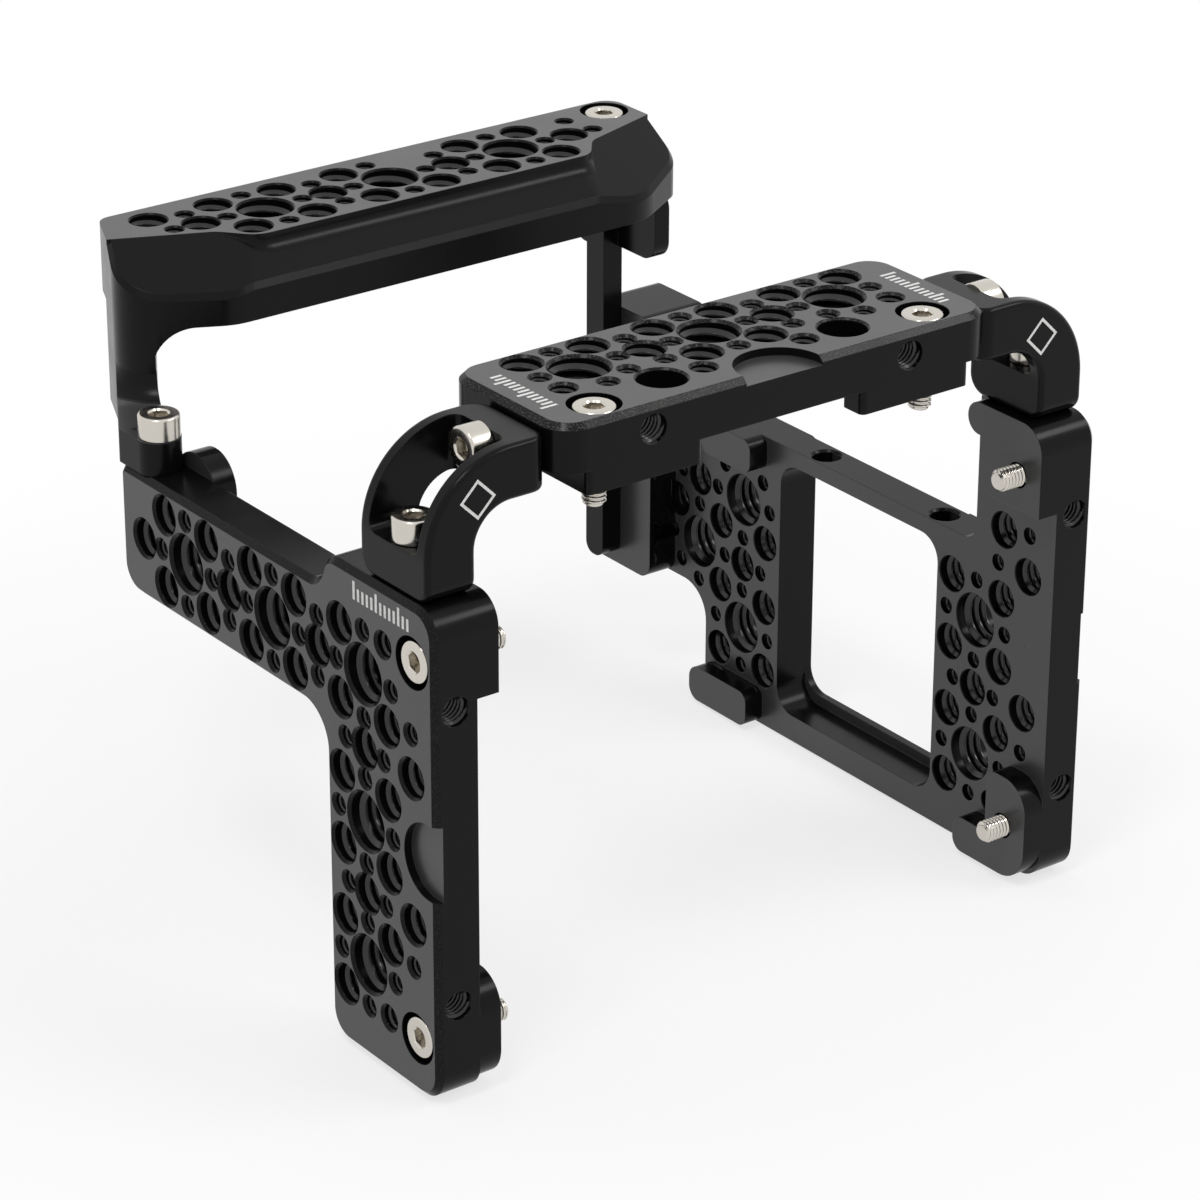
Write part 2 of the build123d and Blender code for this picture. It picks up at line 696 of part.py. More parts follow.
def topPlate():
    """Plate between the brackets, with two pads that reach down to the camera."""
    corner = cornerRound
    plate = flatSlab(
        [
            (-topEndX, 0, corner),
            (topEndX, 0, corner),
            (topEndX, topDeep, corner),
            (-topEndX, topDeep, corner),
        ],
        topLow,
        topZ,
    )
    plate = chamfer(plate.faces().sort_by(Axis.Z)[-1].edges(), outerChamfer)
    outer = topEndX - topPadIn
    inner = outer - topPadLong
    for s in (-1, 1):
        pad = [
            (s * outer, 0, topPadFront),
            (s * outer, topPadDeep, corner),
            (s * inner, topPadDeep, topPadRound),
            (s * inner, 0, topPadFront),
        ]
        plate += flatSlab(pad, topLow - padThick, topLow + overlap)
    large = [(i * pitch, columnY) for i in (-1, 0, 1)]
    mids = [(s * half, columnY) for s in (-1, 1)]
    backRow = [(x + s * quarter, columnY + quarter) for x, _ in large for s in (-1, 1)]
    medium = backRow + mids + [(s * quarter, columnY - quarter) for s in (-1, 1)]
    small = across(large, smallRing)
    small += [(x, y + s * besideLarge) for x, y in mids for s in (-1, 1)]
    small += [(s * cornerHoleX, cornerHoleY) for s in (-1, 1)]
    taps = [(s * topScrewX, screwInset + tapOffset) for s in (-1, 1)]
    taps += [(s * middleTapX, middleTapY) for s in (-1, 1)]
    through = plateThick + padThick
    plate = drillTop(plate, large, largeBore, largeBreak, through, topZ)
    plate = drillTop(plate, medium, mediumBore, mediumBreak, through, topZ)
    plate = drillTop(plate, small, smallBore, smallBreak, through, topZ)
    plate = drillTop(plate, taps, tapBore, mediumBreak, through, topZ)
    plain = [(s * plainHoleX, plainHoleY) for s in (-1, 1)]
    plate = drillTop(plate, plain, plainBore, plainBreak, through, topZ)
    bore = cameraBore(stackThick)
    plate -= [Pos(s * topScrewX, screwInset, topZ) * bore for s in (-1, 1)]
    edge = Rot(-90, 0, 0) * Cylinder(edgeBore / 2, edgeBoreDeep + reach)
    shift = edgeBoreDeep / 2 - reach / 2
    plate -= [Pos(s * pitch, shift, topZ - plateThick / 2) * edge for s in (-1, 1)]
    wide = topPocketWide / 2
    pocket = [
        (-wide, -reach, 0),
        (wide, -reach, 0),
        (wide, pocketReach, wide * nearlyRound),
        (-wide, pocketReach, wide * nearlyRound),
    ]
    plate -= flatSlab(pocket, topZ - pocketDeep, topZ + reach)
    deep = bracketScrew - endSeat + holeRunOut
    tap = Rot(0, 90, 0) * Cylinder(shankDia / 2, deep + reach)
    middle = topEndX - deep / 2 + reach / 2
    plate -= [Pos(s * middle, bracketMidY, bracketTop - headScrewDown) * tap for s in (-1, 1)]
    return plate


def slopeCut(x, y, z, heading, slope):
    """Half space above a plane through (x, y, z) that falls towards heading (degrees) at slope."""
    wide = 2 * (cageWidth + deckBack)
    block = Pos(0, 0, wide / 2) * Box(wide, wide, wide)
    return Pos(x, y, z) * Rot(0, 0, heading) * Rot(0, slope, 0) * block


def slopedPrism(corners, through, heading, slope):
    """Prism under one sloping plane, with a narrow chamfer all round the slope."""
    prism = flatSlab(corners, barLow, topZ + halfWidth) - slopeCut(*through, heading, slope)
    slanted = [f for f in prism.faces() if 0.5 < f.normal_at().Z < 0.99]
    return chamfer(slanted[0].edges(), stripChamfer)


def barPoints():
    """3/8-16, 1/4-20 and M3 points of the bar's deck."""
    large = [(i * pitch, barRowY) for i in (-1, 0, 1)]
    skip = (quarter, barRowY + quarter)
    medium = [p for p in around(large, quarter) if p != skip]
    medium += [(-pitch - 3 * quarter, barRowY + quarter)]
    medium += [((i + 0.5) * pitch, barRowY) for i in (-2, -1, 0, 1)]
    small = across(large, smallRing)
    small += [(s * (pitch * 1.5 + besideLarge), barRowY) for s in (-1, 1)]
    small += [((i + 0.5) * pitch, barRowY + besideLarge) for i in (-2, -1, 0)]
    small += [((i + 0.5) * pitch, barRowY - besideLarge) for i in (-1, 0)]
    small += [(pitch * 1.5 + lastHoleOut, barRowY + quarter)]
    return large, medium, small


def barOutline():
    """Plan of the bar below its slopes."""
    return [
        (barHornX, barHornY, barHornRound),
        (barFrontLeft, barFront, barLeftRound),
        (barFrontRight, barFront, barRightRound),
        (barEndX, deckBack - barCheekDeep, barCheekRound),
        (barEndX, deckBack, barEndRound),
        (barHeelX, deckBack, barHeelRound),
    ]


def creases(body):
    """Edges where one of the bar's slopes meets another."""
    flattest = math.cos(math.radians(steepest))
    slopes = [f for f in body.faces() if flattest < f.normal_at().Z < 0.99]
    found = []
    for i, face in enumerate(slopes):
        nearby = [o.center() for other in slopes[i + 1:] for o in other.edges()]
        found += [e for e in face.edges() if any((e.center() - c).length < 1e-3 for c in nearby)]
    return found


def rearBar():
    """Bar with a raised deck, and the arm and foot that carry its left end."""
    frontZ = barLow + wallHigh
    foot = barOutline()
    ax, ay = deckTipLeft
    bx, by = deckTurnLeft
    leftHeading = math.degrees(math.atan2(by - ay, bx - ax)) - 90
    cx, cy = deckTurnRight
    dx, dy = deckEndRight
    rightHeading = math.degrees(math.atan2(dy - cy, dx - cx)) - 90
    body = flatSlab(foot, barLow, topZ)
    body &= slopedPrism(foot, (ax, ay, topZ), leftHeading, leftSlope)
    body &= slopedPrism(foot, (cx, cy, topZ), rightHeading, rightSlope)
    body &= slopedPrism(foot, (0, barFront, frontZ), -90, frontSlope)
    body = fillet(creases(body), creaseRound)
    deck = [
        (ax, ay, 0),
        (bx, by, deckRound),
        (deckLeft, deckFront, deckRound),
        (deckRight, deckFront, deckRightRound),
        (cx, cy, deckRound),
        (dx, dy, 0),
        (barEndX, deckBack, barEndRound),
        (barHeelX, deckBack, barHeelRound),
    ]
    body += flatSlab(deck, barLow + wallHigh / 2, topZ)
    body += deckCove(frontZ) + armSolid()
    large, medium, small = barPoints()
    body = drillTop(body, large, largeBore, largeBreak * barBreakShare, barThick, topZ)
    body = drillTop(body, medium, mediumBore, mediumBreak * barBreakShare, barThick, topZ)
    body = drillTop(body, small, smallBore, smallBreak * barBreakShare, barThick, topZ)
    body -= Pos(*postScrewPlace(), topZ) * cameraBore(barThick)
    return body


def deckCove(frontZ):
    """Hollow moulding between the deck's front wall and the slope below it."""
    footZ = frontZ + (deckFront - barFront) * math.tan(math.radians(frontSlope))
    bends = [deckTurnLeft, (deckLeft, deckFront), (deckRight, deckFront), deckTurnRight]
    route = FilletPolyline(*bends, radius=deckRound)
    turn = math.radians(90 + frontSlope) / 2
    along = coveRound / math.tan(turn)
    crown = coveRound / math.sin(turn) - coveRound
    fall = math.radians(frontSlope)
    rise = math.pi / 2 - turn
    low = (along * math.cos(fall), along * math.sin(fall))
    arc = ThreePointArc((0, -along), (crown * math.cos(rise), -crown * math.sin(rise)), low)
    high = low[1] + reach
    rest = Polyline(low, (low[0], high), (-reach, high), (-reach, -along), (0, -along))
    heading = route % 0
    start = route @ 0
    outward = heading.cross(Vector(0, 0, 1))
    section = Plane(origin=(start.X, start.Y, footZ), x_dir=outward, z_dir=heading)
    return sweep(section * make_face(arc + rest), path=Pos(0, 0, footZ) * route)


def postScrewPlace():
    """Axis of the screw that joins the bar's right end to the post."""
    return postX + postScrewX, postFront + postScrewY


def barSideX(deep):
    """X of the bar's left side at a depth from its back face."""
    return barHeelX + (barHornX - barHeelX) * deep / barHornDeep


def hornCentre():
    """Centre of the bar's rounded left front corner."""
    here = Vector(barHornX, barHornY)
    first = (Vector(barFrontLeft, barFront) - here).normalized()
    second = (Vector(barHeelX, deckBack) - here).normalized()
    turn = math.radians(first.get_angle(second)) / 2
    return here + (first + second).normalized() * (barHornRound / math.sin(turn))


def armFlare(padTop):
    """Hollow moulding between the strip's top and the column's round front."""
    shaft = barHornRound - 5 * overlap
    bow = armScoop * (1 - math.sqrt(0.5))
    scoop = ThreePointArc(
        (shaft + armScoop, padTop), (shaft + bow, padTop + bow), (shaft, padTop + armScoop))
    core = Polyline(
        (shaft, padTop + armScoop), (0, padTop + armScoop), (0, padTop - reach),
        (shaft + armScoop, padTop - reach), (shaft + armScoop, padTop))
    centre = hornCentre()
    return Pos(centre.X, centre.Y, 0) * revolve(Plane.XZ * make_face(scoop + core), Axis.Z)


def armSolid():
    """Foot on the left plate's arm, the strip behind it and the column up to the bar."""
    outer = -halfWidth + armPadInset
    inner = outer + armPadWide
    strip = [
        (outer, armPadFront, armPadRound),
        (inner, armPadFront, armPadRound),
        (inner, armPadBack - armPadStep, armBend),
        (armNose.X, armNose.Y, 0),
        (armWall.X, armWall.Y, armBend),
        (armWall.X, armColumnBack, armCorner),
        (barSideX(armColumnStop), armColumnBack, armCorner),
        (barSideX(armShoulder), deckBack - armShoulder, 0),
        (outer, armPadBack, armCorner),
    ]
    ahead = armNose * 2 - armWall
    column = [
        (ahead.X, ahead.Y, 0),
        (armWall.X, armWall.Y, armBend),
        (armWall.X, armColumnBack, armCorner),
        (-halfWidth, armColumnBack, 0),
        (-halfWidth, barFront, 0),
    ]
    padTop = armHigh + armPadThick
    column = flatSlab(column, armHigh, barLow + reach / 2)
    column &= flatSlab(barOutline(), armHigh - reach, barLow + reach)
    tall = flatSlab(strip, armHigh, barLow)
    web = [
        (armFilletX - reach, barLow - armFillet, 0),
        (armFilletX, barLow - armFillet, 0),
        (armFilletX, barLow, armFillet * nearlyRound),
        (armFilletX + armFillet, barLow, 0),
        (armFilletX + armFillet, barLow + reach, 0),
        (armFilletX - reach, barLow + reach, 0),
    ]
    web = Pos(0, armColumnBack - reach, 0) * extrude(
        Plane.XZ * outline(web), armColumnBack - barFront - 2 * reach)
    web &= flatSlab(barOutline(), armHigh, barLow + 2 * reach)
    arm = flatSlab(strip, armHigh, padTop) + column + (armFlare(padTop) & tall) + web
    screwHole = Cylinder(shankDia / 2 + armHoleGap, 4 * armPadThick)
    arm -= Pos(-halfWidth + armScrewX, armScrewY, armHigh) * screwHole
    arm -= Pos(-halfWidth + pinIn, pinY, armHigh) * Cylinder(pinDia / 2, 4 * armPadThick)
    return arm


def rearPost():
    """Upright strip against the right plate's block, with a head under the bar's end."""
    inner = postX
    strip = [
        (postFront, postLow, postRound),
        (postBack, postLow, postRound),
        (postBack, barLow, 0),
        (postFront, barLow, 0),
    ]
    post = Pos(inner, 0, 0) * extrude(Plane.YZ * outline(strip), postThick)
    head = [
        (postFront, postHeadLow, 0),
        (blockBack, postHeadLow, postHeadRound),
        (blockBack, barLow, 0),
        (postFront, barLow, 0),
    ]
    post += Pos(inner, 0, 0) * extrude(Plane.YZ * outline(head), postHeadWide)
    lobe = [
        (lobeFront, postHeadLow, lobeRound),
        (postFront + reach, postHeadLow, 0),
        (postFront + reach, barLow, 0),
        (lobeFront, barLow, lobeRound),
    ]
    post += Pos(inner + postHeadWide - lobeWide, 0, 0) * extrude(Plane.YZ * outline(lobe), lobeWide)
    deep = postScrewLong - barThick + headHigh + screwRecess + holeRunOut
    tap = Cylinder(shankDia / 2, deep + reach)
    post -= Pos(*postScrewPlace(), barLow - deep / 2 + reach / 2) * tap
    side = Rot(0, 90, 0) * Cylinder(smallShank / 2, postScrewBite * 2)
    far = inner + postThick
    post -= [Pos(far, postFront + postDeep / 2, z) * side for z in postScrewRows]
    return post


def postScrews():
    """Screws from the right plate's outer face into the post."""
    length = plateThick + blockThick - smallHeadHigh - screwRecess + postScrewBite - postTipGap
    screw = capScrew(length, smallShank, smallHead, smallHeadHigh, smallFlats, smallHexDeep)
    seat = halfWidth - smallHeadHigh - screwRecess
    at = [Pos(seat, postFront + postDeep / 2, z) * (Rot(0, 90, 0) * screw) for z in postScrewRows]
    return at


pieces = {
    "left_side_plate": leftSidePlate(),
    "right_side_plate": rightSidePlate(),
    "top_plate": topPlate(),
    "left_corner_bracket": cornerBracket(-1),
    "right_corner_bracket": cornerBracket(1),
    "rear_bar": rearBar(),
    "rear_right_post": rearPost(),
}

# camera screws: heads in the outer faces, tips towards the camera
seatDepth = headHigh + screwRecess
for rowName, rowZ in zip(("lower", "upper"), screwRows):
    turned = Pos(seatDepth, screwInset, rowZ) * (Rot(0, -90, 0) * cameraScrew())
    for sideName, side in (("left", -1), ("right", 1)):
        pieces[f"{sideName}_{rowName}_camera_screw"] = toSide(turned, side)
for sideName, side in (("left", -1), ("right", 1)):
    topSeat = Pos(side * topScrewX, screwInset, topZ - seatDepth)
    pieces[f"top_{sideName}_camera_screw"] = topSeat * cameraScrew()
    lower, upper = bracketScrews(side)
    pieces[f"{sideName}_bracket_lower_screw"] = lower
    pieces[f"{sideName}_bracket_upper_screw"] = upper

armScrew = capScrew(armScrewLong, shankDia, headDia, headHigh, hexFlats, hexDeep)
armPadTop = armHigh + armPadThick
pieces["rear_arm_screw"] = Pos(-halfWidth + armScrewX, armScrewY, armPadTop) * armScrew
armPin = Cylinder(pinDia / 2, pinLong)
pieces["rear_arm_pin"] = Pos(-halfWidth + pinIn, pinY, armPadTop - pinLong / 2) * armPin
postTop = capScrew(postScrewLong, shankDia, headDia, headHigh, hexFlats, hexDeep)
pieces["rear_post_top_screw"] = Pos(*postScrewPlace(), topZ - seatDepth) * postTop
for name, screw in zip(("lower", "upper"), postScrews()):
    pieces[f"rear_post_{name}_screw"] = screw

os.makedirs("parts", exist_ok=True)
for name, piece in pieces.items():
    export_step(Pos(0, -barDepth / 2, 0) * piece, f"parts/{name}.step")
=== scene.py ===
import math

import bpy
from mathutils import Matrix, Vector


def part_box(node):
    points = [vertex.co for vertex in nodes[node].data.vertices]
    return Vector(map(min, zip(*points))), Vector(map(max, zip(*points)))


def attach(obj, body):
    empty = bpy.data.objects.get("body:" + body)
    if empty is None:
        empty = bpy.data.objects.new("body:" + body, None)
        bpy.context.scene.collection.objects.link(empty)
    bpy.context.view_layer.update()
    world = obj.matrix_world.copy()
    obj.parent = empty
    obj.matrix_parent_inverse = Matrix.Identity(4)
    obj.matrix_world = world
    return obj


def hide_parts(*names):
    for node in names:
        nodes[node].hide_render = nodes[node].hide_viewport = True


# Camera cage of black anodised aluminium plates with stainless cap screws.
# Metres, +X right, +Y back, +Z up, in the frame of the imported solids.
# Sizes below are in mm and become metres where a mesh is made. Only the lamps are in metres.

mm = 0.001

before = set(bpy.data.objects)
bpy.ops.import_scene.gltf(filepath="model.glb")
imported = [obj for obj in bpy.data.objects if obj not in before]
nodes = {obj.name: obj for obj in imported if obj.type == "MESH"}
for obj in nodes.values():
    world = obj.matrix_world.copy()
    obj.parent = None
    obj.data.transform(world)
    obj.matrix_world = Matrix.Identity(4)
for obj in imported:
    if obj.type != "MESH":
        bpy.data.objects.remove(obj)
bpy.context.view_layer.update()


def srgb(code, alpha=1.0):
    channels = [int(code[i:i + 2], 16) / 255 for i in (1, 3, 5)]
    linear = [c / 12.92 if c <= 0.04045 else ((c + 0.055) / 1.055) ** 2.4 for c in channels]
    return (*linear, alpha)


def addNode(tree, kind, settings=None, links=None):
    # settings: attribute or input, and its value
    # links: input, and an output socket or a node for its first output
    node = tree.nodes.new(kind)
    for key, value in (settings or {}).items():
        if isinstance(key, int) or key in node.inputs:
            node.inputs[key].default_value = value
        else:
            setattr(node, key, value)
    for key, source in (links or {}).items():
        socket = source.outputs[0] if isinstance(source, bpy.types.Node) else source
        tree.links.new(socket, node.inputs[key])
    return node


def newMaterial(name):
    material = bpy.data.materials.new(name)
    material.use_nodes = True
    material.node_tree.nodes.clear()
    return material, material.node_tree


def meshPiece(name, points, faces, material, smoothAngle=32):
    # points in mm
    mesh = bpy.data.meshes.new(name)
    mesh.from_pydata([Vector(p) * mm for p in points], [], faces)
    mesh.update()
    piece = bpy.data.objects.new(name, mesh)
    bpy.context.scene.collection.objects.link(piece)
    mesh.materials.append(material)
    mesh.shade_smooth()
    mesh.set_sharp_from_angle(angle=math.radians(smoothAngle))
    return piece


anodisedLook = {
    "colour": "#0b0b0c",           # dyed oxide on the walls
    "faceColour": "#3a3a3b",       # broad faces: lighter base colour, painted light for the light they catch
    "rough": 0.30,
    "roughSpread": 0.06,
    "ior": 1.50,                   # sealed, dyed oxide
    "gloss": 0.5,                  # specular level on the broad faces
    "wallRough": 0.22,             # end-milled walls: smoother, and darker as only the broad faces carry painted light
    "wallGloss": 0.13,             # the dyed pores take most of the gloss
    "cloudMm": 9.0,                # slow change of sheen across a face
    "grainMm": 0.12,               # blasted grain, coarse enough to show
    "grainBump": 0.06,
    "grainDeepMm": 0.02,
    "edgeRadiusMm": 0.22,          # tumbled edges
    "millMm": 0.30,                # cutter marks on chamfers
    # lighter colour of the cutter marks: real marks, painted lighter as glints on the chamfers
    "millColour": "#565553",
    "millRough": 0.42,
    "millDeepMm": 0.06,
    "millShare": 1.0,              # 0 leaves the chamfers plain
    "axis": 2,                     # normal to the broad faces: 0 for X, 2 for Z
    "faces": 1.0,                  # share of the broad faces' lighter copy, which is painted light; 0 gives every face the walls' skin
}


# how much a normal leans to the axis: chamfers stand near 45 degrees, broad faces look along it
chamferLean = ((0.64, 0.67), (0.78, 0.75))
broadLean = (0.90, 0.95)


def faceMasks(tree, axis):
    # 1 on the broad faces that look along the axis, and 1 on the chamfers round them
    normal = addNode(tree, "ShaderNodeNewGeometry").outputs["True Normal"]
    parts = addNode(tree, "ShaderNodeSeparateXYZ", None, {0: normal})
    lean = addNode(tree, "ShaderNodeMath", {"operation": "ABSOLUTE"}, {0: parts.outputs[axis]})
    masks = [addNode(tree, "ShaderNodeMapRange", {"From Min": start, "From Max": stop}, {"Value": lean})
             for start, stop in (*chamferLean, broadLean)]
    chamfer = addNode(tree, "ShaderNodeMath", {"operation": "MULTIPLY"}, {0: masks[0], 1: masks[1]})
    return masks[2], chamfer


def anodisedAluminium(name, look):
    # aluminium alloy, milled, blasted and black anodised: a dark dielectric skin with a soft sheen and
    # painted light (a lighter base colour) on the broad faces, darker walls, and cutter speckles on the
    # chamfers painted lighter as glints
    material, tree = newMaterial(name)
    place = addNode(tree, "ShaderNodeTexCoord").outputs["Object"]
    patterns = {}
    for key, sizeMm, detail, rough in (("grain", look["grainMm"], 2.0, 0.6),
                                       ("cloud", look["cloudMm"], 3.0, 0.6),
                                       ("marks", look["millMm"], 4.0, 0.75)):
        patterns[key] = addNode(tree, "ShaderNodeTexNoise",
                                {"Scale": 1 / (sizeMm * mm), "Detail": detail, "Roughness": rough},
                                {"Vector": place})
    broad, chamfer = faceMasks(tree, look["axis"])
    # speckles on the chamfers: real cutter marks in bump and roughness, painted lighter in colour as glints
    speckle = addNode(tree, "ShaderNodeMapRange",
                      {"From Min": 0.50, "From Max": 0.66, "To Max": look["millShare"]},
                      {"Value": patterns["marks"]})
    share = addNode(tree, "ShaderNodeMath", {"operation": "MULTIPLY"}, {0: chamfer, 1: speckle})
    edge = addNode(tree, "ShaderNodeBevel", {"samples": 4, "Radius": look["edgeRadiusMm"] * mm})
    fine = addNode(tree, "ShaderNodeBump",
                   {"Strength": look["grainBump"], "Distance": look["grainDeepMm"] * mm},
                   {"Height": patterns["grain"], "Normal": edge})
    milled = addNode(tree, "ShaderNodeBump", {"Distance": look["millDeepMm"] * mm},
                     {"Height": patterns["marks"], "Normal": fine, "Strength": share})
    spread = look["roughSpread"] / 2
    skins = []
    # the walls take the dye; the broad faces take a lighter colour, which is painted light
    for dyeAndPaintedLight, rough, gloss in ((look["colour"], look["wallRough"], look["wallGloss"]),
                              (look["faceColour"], look["rough"], look["gloss"])):
        colour = addNode(tree, "ShaderNodeMix", {"data_type": "RGBA", 6: srgb(dyeAndPaintedLight),
                                                 7: srgb(look["millColour"])}, {0: share})
        satin = addNode(tree, "ShaderNodeMapRange",
                        {"From Min": 0.3, "From Max": 0.7,
                         "To Min": rough - spread, "To Max": rough + spread},
                        {"Value": patterns["cloud"]})
        worn = addNode(tree, "ShaderNodeMix", {"data_type": "FLOAT", 3: look["millRough"]},
                       {0: share, 2: satin})
        skins.append(addNode(tree, "ShaderNodeBsdfPrincipled",
                             {"IOR": look["ior"], "Specular IOR Level": gloss},
                             {"Base Color": colour.outputs[2], "Roughness": worn, "Normal": milled}))
    # the broad faces get the lighter copy: painted light
    paintedLightShare = addNode(tree, "ShaderNodeMath", {"operation": "MULTIPLY", 1: look["faces"]}, {0: broad})
    skin = addNode(tree, "ShaderNodeMixShader", None, {0: paintedLightShare, 1: skins[0], 2: skins[1]})
    addNode(tree, "ShaderNodeOutputMaterial", None, {"Surface": skin})
    return material


steelLook = {
    "colour": "#ccc7be",
    "rough": 0.20,
    "roughSpread": 0.08,
    "smearMm": 1.8,                # handling marks
    "turnMm": 0.08,                # fine marks of turning
    "turnBump": 0.03,
    "turnDeepMm": 0.01,
}


def stainlessSteel(name, look):
    # A2 stainless cap screws, cold headed and turned: warm grey metal with fine marks
    material, tree = newMaterial(name)
    place = addNode(tree, "ShaderNodeTexCoord").outputs["Object"]
    smear, fine = (addNode(tree, "ShaderNodeTexNoise",
                           {"Scale": 1 / (sizeMm * mm), "Detail": detail, "Roughness": 0.6},
                           {"Vector": place})
                   for sizeMm, detail in ((look["smearMm"], 4.0), (look["turnMm"], 2.0)))
    spread = look["roughSpread"] / 2
    rough = addNode(tree, "ShaderNodeMapRange",
                    {"From Min": 0.3, "From Max": 0.7,
                     "To Min": look["rough"] - spread, "To Max": look["rough"] + spread}, {"Value": smear})
    bump = addNode(tree, "ShaderNodeBump",
                   {"Strength": look["turnBump"], "Distance": look["turnDeepMm"] * mm}, {"Height": fine})
    skin = addNode(tree, "ShaderNodeBsdfPrincipled",
                   {"Base Color": srgb(look["colour"]), "Metallic": 1.0},
                   {"Roughness": rough, "Normal": bump})
    addNode(tree, "ShaderNodeOutputMaterial", None, {"Surface": skin})
    return material


inkLook = {"colour": "#e6e6e4", "worn": "#c4c4c2", "rough": 0.5, "wearMm": 0.4}


def whiteInk(name, look):
    # screen-printed white ink: matt, a little uneven where it lies on the blasted skin
    material, tree = newMaterial(name)
    place = addNode(tree, "ShaderNodeTexCoord").outputs["Object"]
    grain = addNode(tree, "ShaderNodeTexNoise",
                    {"Scale": 1 / (look["wearMm"] * mm), "Detail": 3.0, "Roughness": 0.6}, {"Vector": place})
    wear = addNode(tree, "ShaderNodeMapRange", {"From Min": 0.45, "From Max": 0.75}, {"Value": grain})
    colour = addNode(tree, "ShaderNodeMix", {"data_type": "RGBA", 6: srgb(look["colour"]),
                                             7: srgb(look["worn"])}, {0: wear})
    skin = addNode(tree, "ShaderNodeBsdfPrincipled", {"Roughness": look["rough"]},
                   {"Base Color": colour.outputs[2]})
    addNode(tree, "ShaderNodeOutputMaterial", None, {"Surface": skin})
    return material


# side plates' broad faces painted a shade darker than the top plate's, as less light falls on them
sideBlack = anodisedAluminium("black_anodised_side_plates",
                              {**anodisedLook, "axis": 0, "millShare": 0.2, "faceColour": "#363637"})
topBlack = anodisedAluminium("black_anodised_top_plate", anodisedLook)
barBlack = anodisedAluminium("black_anodised_bar",
                             {**anodisedLook, "millShare": 0.0, "wallRough": 0.25})
plainBlack = anodisedAluminium("black_anodised_plain", {**anodisedLook, "millShare": 0.0, "faces": 0.0})
threadBlack = anodisedAluminium("black_anodised_thread",
                                {**anodisedLook, "millShare": 0.0, "faces": 0.0,
                                 "wallGloss": 0.5, "wallRough": 0.20})
stainless = stainlessSteel("stainless_steel_A2", steelLook)
printWhite = whiteInk("white_print", inkLook)

for name, node in nodes.items():
    node.data.materials.clear()
    if name.endswith(("screw", "pin")):
        node.data.materials.append(stainless)
    elif name.endswith("side_plate"):
        node.data.materials.append(sideBlack)
    else:
        finishes = {"top_plate": topBlack, "rear_bar": barBlack}
        node.data.materials.append(finishes.get(name, plainBlack))

print("finishes set on", len(nodes), "solids")


threads = {
    # kind: major diameter, minor diameter, pitch, points round one turn
    "large": (9.525, 7.85, 1.5875, 36),
    "medium": (6.35, 5.10, 1.27, 24),
    "small": (3.0, 2.45, 0.5, 14),
    "tap": (4.0, 3.25, 0.7, 16),
    "edge": (5.0, 4.15, 0.8, 20),
}
threadLook = {"mouthMm": 0.55, "crestShare": 0.16, "rootShare": 0.46, "sinkMm": 0.02, "fadeSteps": 6}

pitch = 25.4                       # hole lattice
quarter = pitch / 4
half = pitch / 2
column = 19.05                     # first column, from the front plane
middle = 42.4                      # middle row on the side plates
ring = 7.5                         # small holes round a large one
beside = 5.2                       # small hole beside a medium one
rearBeside = 5.46                  # the same at the top of the right plate's rear column
plateThick = 8.0
barThick = 12.0
edgeDeep = 9.5                     # tapped holes in the front edges
screwIn = 5.65                     # camera screws, from the front plane
screwRows = (9.9, 74.9)
screwClear = 8.27                  # least room from a camera screw to a medium hole
tapOffset = 7.85                   # M4 hole beside each camera screw
tapIn = screwIn + tapOffset
topTapX = 32.5                     # M4 holes beside the top plate's camera screws
middleTap = (10.0, 7.6)            # the plate's other M4 holes
cornerHole = (19.85, 13.8)         # small holes apart from the rings
barRowIn = 11.65                   # the bar's row of large holes, from its back
lastHoleOut = 3.6                  # last small hole of the bar, right of its medium hole
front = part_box("left_side_plate")[0].y / mm
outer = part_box("right_side_plate")[1].x / mm
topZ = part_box("top_plate")[1].z / mm
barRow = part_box("rear_bar")[1].y / mm - barRowIn


def around(points, step):
    return [(u + i * step, v + j * step) for u, v in points for i in (-1, 1) for j in (-1, 1)]


def across(points, step):
    moves = ((-step, 0), (step, 0), (0, -step), (0, step))
    return [(u + du, v + dv) for u, v in points for du, dv in moves]


def clearOf(points, others, gap):
    return [p for p in points if all(math.dist(p, o) >= gap for o in others)]


def without(points, *dropped):
    return [p for p in points if all(math.dist(p, d) > 0.01 for d in dropped)]


def frontColumn(large):
    # medium and small holes that both side plates have round their front column
    mids = [(column, middle + s * half) for s in (-1, 1)]
    edge = [(quarter, z) for _, z in mids]
    cameraScrews = [(screwIn, z) for z in screwRows]
    medium = clearOf(around(large, quarter), cameraScrews, screwClear) + mids + edge
    small = across(large, ring) + [(y + s * beside, z) for y, z in mids for s in (-1, 1)]
    small += [(quarter, z + math.copysign(ring, z - middle)) for _, z in edge]
    return medium, small


def leftHoles():
    rowZ = middle + pitch
    large = [(column + i * pitch, rowZ) for i in range(3)]
    large += [(column, middle), (column, middle - pitch)]
    rowMids = [(column + (i + 0.5) * pitch, rowZ) for i in range(2)]
    medium, small = frontColumn(large)
    medium += rowMids + [(column + 2.5 * pitch, rowZ)]
    small += [(y, z + s * beside) for y, z in rowMids for s in (-1, 1)]
    return {"large": large, "medium": medium, "small": small,
            "tap": [(tapIn, z) for z in screwRows]}


